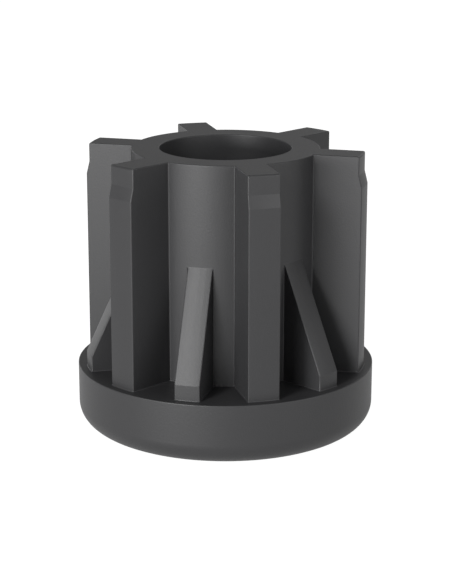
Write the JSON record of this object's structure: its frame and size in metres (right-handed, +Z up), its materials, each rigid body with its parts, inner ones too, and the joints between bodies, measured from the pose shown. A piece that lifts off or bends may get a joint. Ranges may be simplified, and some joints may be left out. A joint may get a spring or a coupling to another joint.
{
  "type": "threaded tube insert",
  "caption": "Round plug for a tube end: a rimmed head flush with the tube, a hub with stepped radial ribs that grip the tube's inner wall, and a central thread for a foot or castor.",
  "frame": {"origin": "centre of the head's flat underside, on the axis of the bore", "axes": "+Z up along the bore, from the head to the open end that goes into the tube; +X through the middle of one full rib"},
  "size_m": [0.048, 0.048, 0.045],
  "materials": {
    "body_plastic": "fine-grained moulded plastic, charcoal black"
  },
  "bodies": {
    "root": {"insert_body": "body_plastic"}
  },
  "joints": []
}
